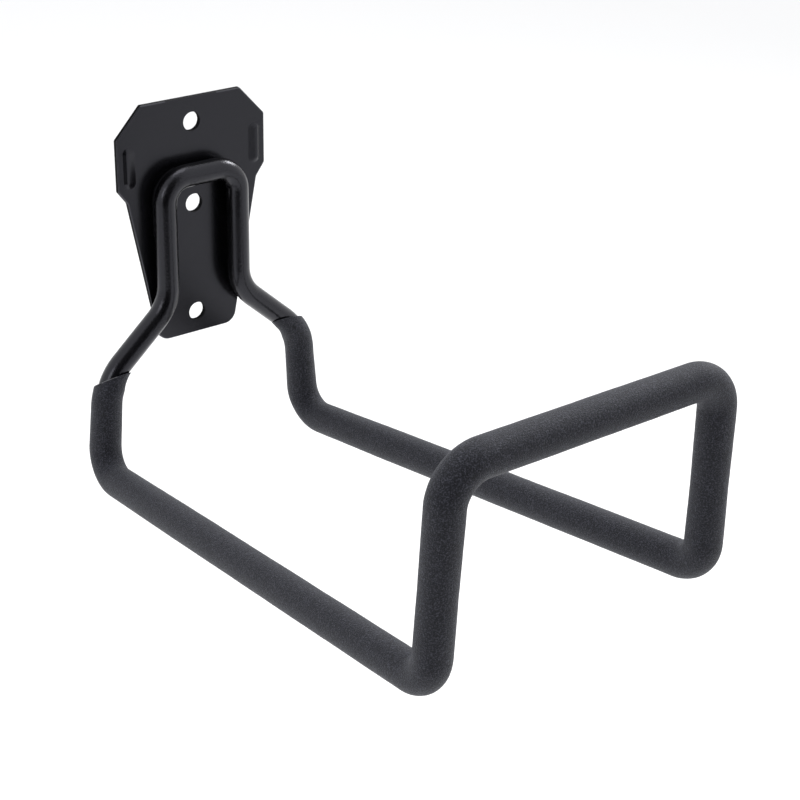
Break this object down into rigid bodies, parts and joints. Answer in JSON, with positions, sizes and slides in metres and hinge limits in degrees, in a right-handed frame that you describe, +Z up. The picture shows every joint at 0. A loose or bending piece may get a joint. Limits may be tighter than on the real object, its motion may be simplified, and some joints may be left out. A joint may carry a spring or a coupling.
{
  "type": "wall guitar hanger",
  "caption": "Wall hanger for a guitar: a flat steel screw plate with a welded closed rod loop forming forward arms and a raised front bar, sleeved in foam.",
  "frame": {"origin": "on the plate's flat back face, on its vertical centreline, halfway between the two lower screw holes", "axes": "+Y into the wall, +X to the right as seen by someone facing the wall, +Z up; the arms reach forward along -Y"},
  "size_m": [0.121, 0.2182, 0.1391],
  "materials": {
    "plate_coat": "black powder coat, satin, on pressed sheet steel",
    "rod_coat": "black powder coat, semi-gloss, on drawn steel rod",
    "weld_coat": "black powder coat over a fillet weld bead",
    "foam": "dark grey closed-cell foam tube, matte and finely grained"
  },
  "bodies": {
    "root": {"wall_plate": "plate_coat", "hook_rod": "rod_coat", "foam_sleeve": "foam", "weld_left": "weld_coat", "weld_right": "weld_coat"}
  },
  "joints": []
}
